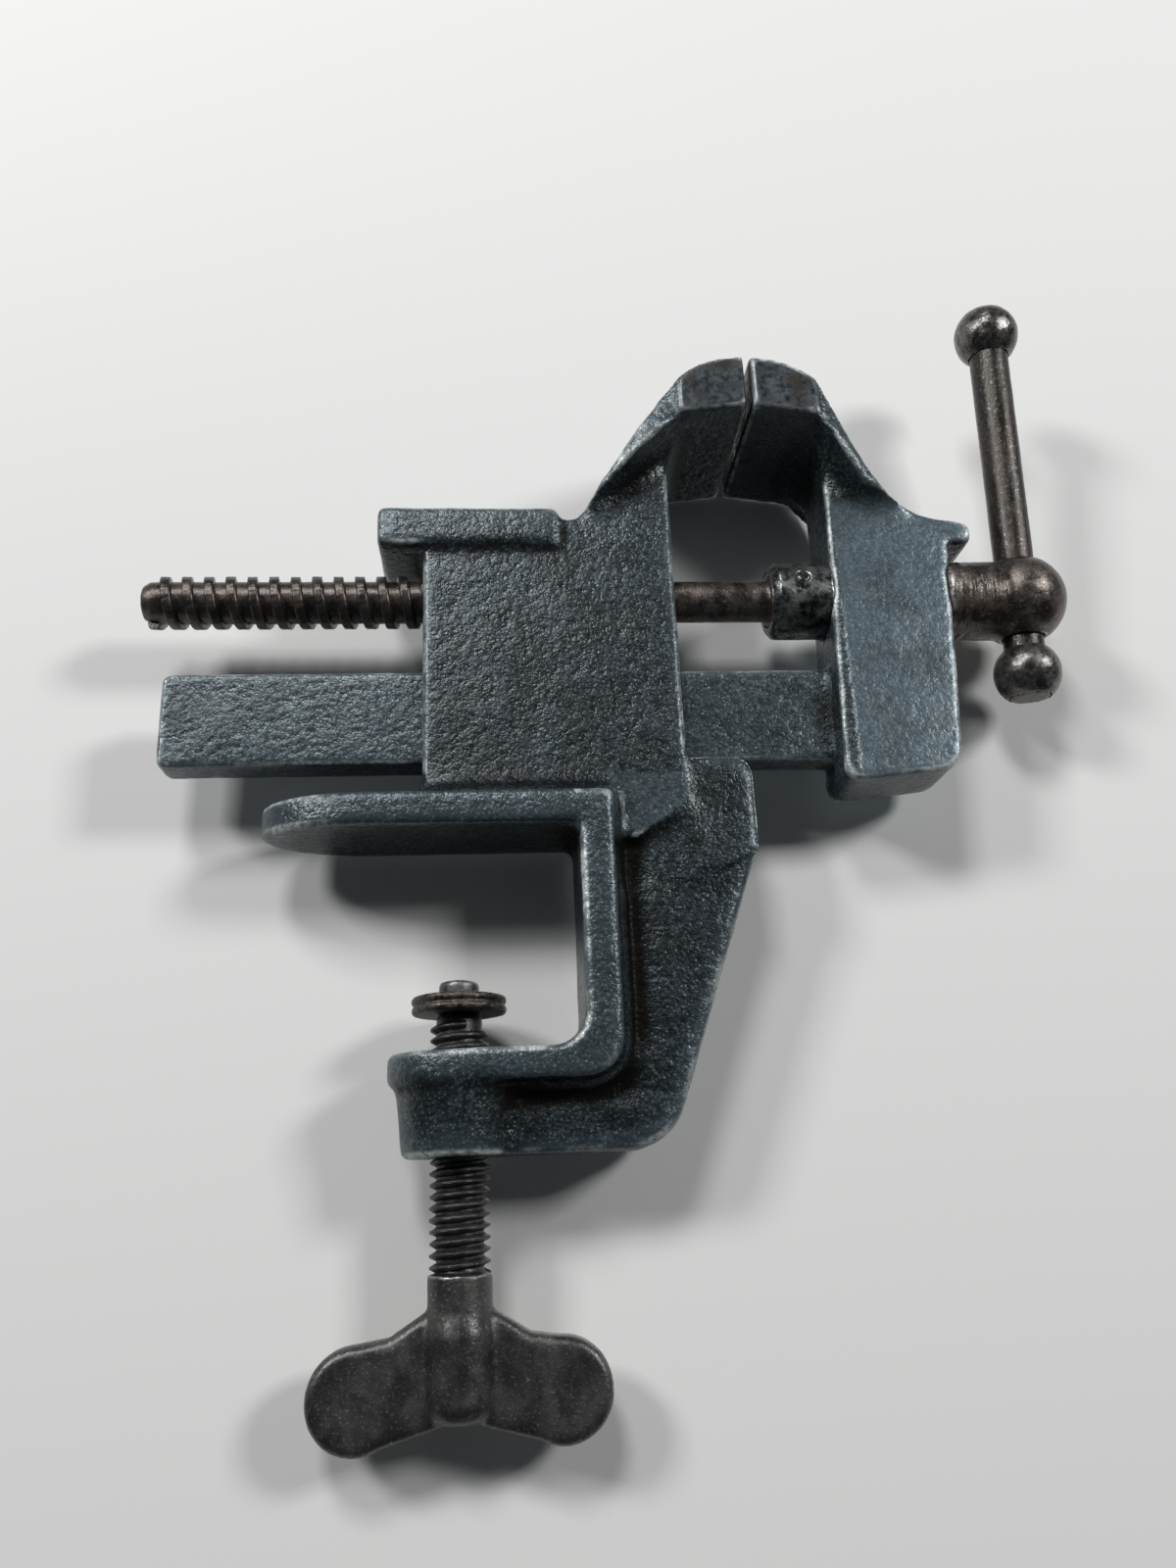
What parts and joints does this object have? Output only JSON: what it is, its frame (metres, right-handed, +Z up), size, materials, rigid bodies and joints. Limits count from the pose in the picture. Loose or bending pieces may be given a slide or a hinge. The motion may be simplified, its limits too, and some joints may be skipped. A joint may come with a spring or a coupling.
{
  "type": "jewelers vise",
  "caption": "Small clamp-on jewelers vise with a fixed and a sliding jaw, a little anvil, a tommy-bar screw and a winged clamp screw with a swivel pad.",
  "frame": {"origin": "on the underside of the clamp plate, where the clamp screw's axis meets the bench face", "axes": "+Z up to the jaws along the clamp screw, +X along the main screw towards its handle"},
  "size_m": [0.1422, 0.0262, 0.1663],
  "materials": {
    "casting": "worn dark sand-cast skin",
    "spindle": "oiled brown-black patina",
    "collar": "worn, lightly rusted",
    "rod": "handled brown patina",
    "clamp": "forged, brown-black",
    "pad": "rusty brown"
  },
  "bodies": {
    "frame": {"vise_body": "casting"},
    "jaw": {"sliding_jaw": "casting"},
    "spindle": {"main_screw": "spindle", "thrust_collar": "collar", "collar_pin": "collar"},
    "handle": {"tommy_bar": "rod", "tommy_ball_upper": "rod", "tommy_ball_lower": "rod"},
    "pad": {"clamp_pad": "pad"},
    "clamp": {"clamp_screw": "clamp"}
  },
  "joints": [
    {"name": "jaw_slide", "type": "slide", "parent": "frame", "child": "jaw", "axis": [1, 0, 0], "range_m": [-0.00075, 0.034]},
    {"name": "screw_turn", "type": "hinge", "parent": "jaw", "child": "spindle", "pos_m": [0.0885, 0, 0.0377], "axis": [1, 0, 0], "range_deg": [-85, 3855]},
    {"name": "tommy_bar_slide", "type": "slide", "parent": "spindle", "child": "handle", "axis": [0, -0.0993, 0.9951], "range_m": [-0.036, 0.0012]},
    {"name": "pad_lift", "type": "slide", "parent": "frame", "child": "pad", "axis": [0, 0, 1], "range_m": [-0.0045, 0.0135]},
    {"name": "clamp_turn", "type": "hinge", "parent": "pad", "child": "clamp", "pos_m": [0, 0, -0.0223], "axis": [0, 0, 1], "range_deg": [-1148, 3444]}
  ],
  "couplings": [
    {"joint": "jaw_slide", "follows": "screw_turn", "m_per_rad": 0.00050532},
    {"joint": "pad_lift", "follows": "clamp_turn", "m_per_rad": 0.00022457}
  ]
}
